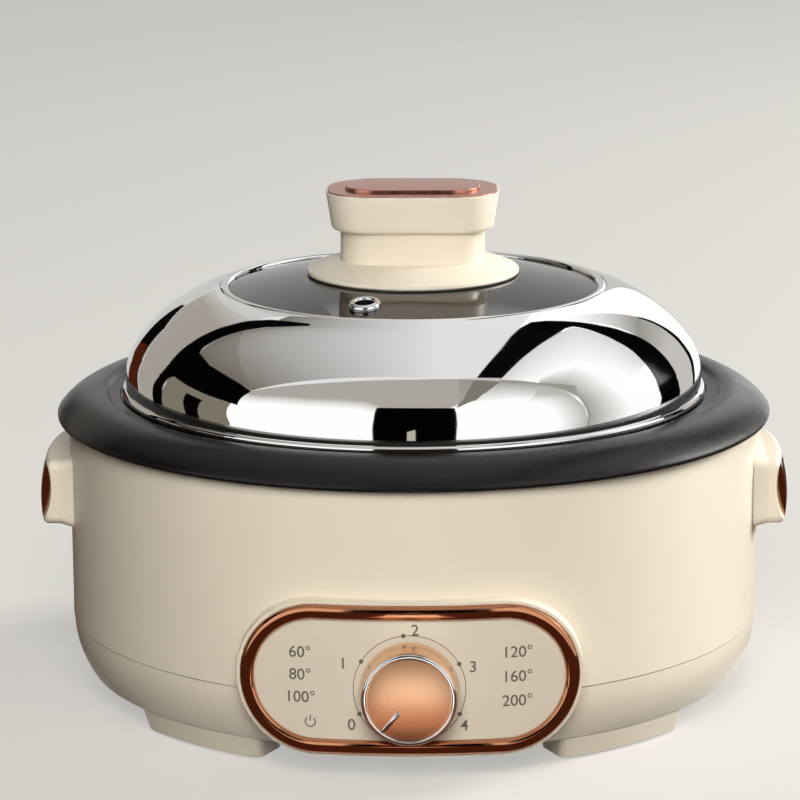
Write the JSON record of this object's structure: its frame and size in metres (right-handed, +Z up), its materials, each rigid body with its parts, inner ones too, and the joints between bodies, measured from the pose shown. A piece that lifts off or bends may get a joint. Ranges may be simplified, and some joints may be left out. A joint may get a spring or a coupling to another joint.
{
  "type": "electric hot pot",
  "caption": "Round electric hot pot with a lift-off domed lid, glass centre, lift-out pot, side handles and a rotary control on a front panel.",
  "frame": {"origin": "on the table plane, under the axis of the round pot", "axes": "+Z up along the axis of the pot, +X towards the handle on the right seen from the front, the control panel faces -Y"},
  "size_m": [0.337, 0.3358, 0.2273],
  "materials": {
    "housing_cream": "satin warm cream moulding",
    "pad_rubber": "matt black rubber",
    "copper_trim": "polished dark copper plating",
    "panel_beige": "fine metallic beige",
    "lamp_amber": "clear amber",
    "black_plastic": "glossy black",
    "zinc_steel": "zinc-plated steel",
    "rose_gold": "rose-gold anodised",
    "brushed_gold": "light rose-gold, spun",
    "bright_trim": "polished",
    "pot_black": "satin black non-stick coating",
    "lid_mirror": "mirror-polished stainless steel",
    "smoked_glass": "smoked toughened glass",
    "knob_tile": "satin rose-gold inlay",
    "seal_silicone": "translucent silicone",
    "cast_aluminium": "die-cast, turned top",
    "element_steel": "sheathed element, dull",
    "sheet_aluminium": "bright pressed sheet",
    "ceramic_white": "white ceramic or moulded insulator",
    "pin_brass": "bright"
  },
  "bodies": {
    "base": {"upper_housing": "housing_cream", "lower_bowl": "housing_cream", "base_screws": "zinc_steel", "foot_front_right": "housing_cream", "foot_front_left": "housing_cream", "foot_back_right": "housing_cream", "foot_back_left": "housing_cream", "pad_front_right": "pad_rubber", "pad_front_left": "pad_rubber", "pad_back_right": "pad_rubber", "pad_back_left": "pad_rubber", "bezel_ring": "copper_trim", "panel_plate": "panel_beige", "power_lamp": "lamp_amber", "control_switch": "black_plastic", "switch_nut": "zinc_steel", "handle_right": "housing_cream", "handle_left": "housing_cream", "handle_cap_right": "rose_gold", "handle_cap_left": "rose_gold", "handle_screws": "zinc_steel", "heating_plate": "cast_aluminium", "heating_element": "element_steel", "heat_reflector": "sheet_aluminium", "plate_posts": "zinc_steel", "plate_screws": "zinc_steel", "thermal_cutoff": "ceramic_white", "cutoff_screws": "zinc_steel", "thermal_fuse": "ceramic_white", "inlet_socket": "black_plastic", "inlet_pins": "pin_brass", "inlet_screws": "zinc_steel", "terminal_block": "ceramic_white"},
    "dial": {"dial_shaft": "zinc_steel", "dial_body": "rose_gold", "dial_face": "brushed_gold", "dial_pointer": "bright_trim"},
    "pot": {"inner_pot": "pot_black"},
    "lid": {"lid_dome": "lid_mirror", "lid_glass": "smoked_glass", "glass_rim": "lid_mirror", "vent_eyelet": "bright_trim", "knob_flange": "housing_cream", "knob_grip": "housing_cream", "knob_plate": "rose_gold", "knob_tile": "knob_tile", "knob_seal": "seal_silicone", "knob_washer": "zinc_steel", "knob_screw": "zinc_steel"}
  },
  "joints": [
    {"name": "dial_turn", "type": "hinge", "parent": "base", "child": "dial", "pos_m": [0, -0.165, 0.041], "axis": [0, 1, 0], "range_deg": [0, 256]},
    {"name": "pot_lift", "type": "slide", "parent": "base", "child": "pot", "axis": [0, 0, 1], "range_m": [0, 0.11]},
    {"name": "lid_lift", "type": "slide", "parent": "pot", "child": "lid", "axis": [0, 0, 1], "range_m": [0, 0.12]}
  ]
}
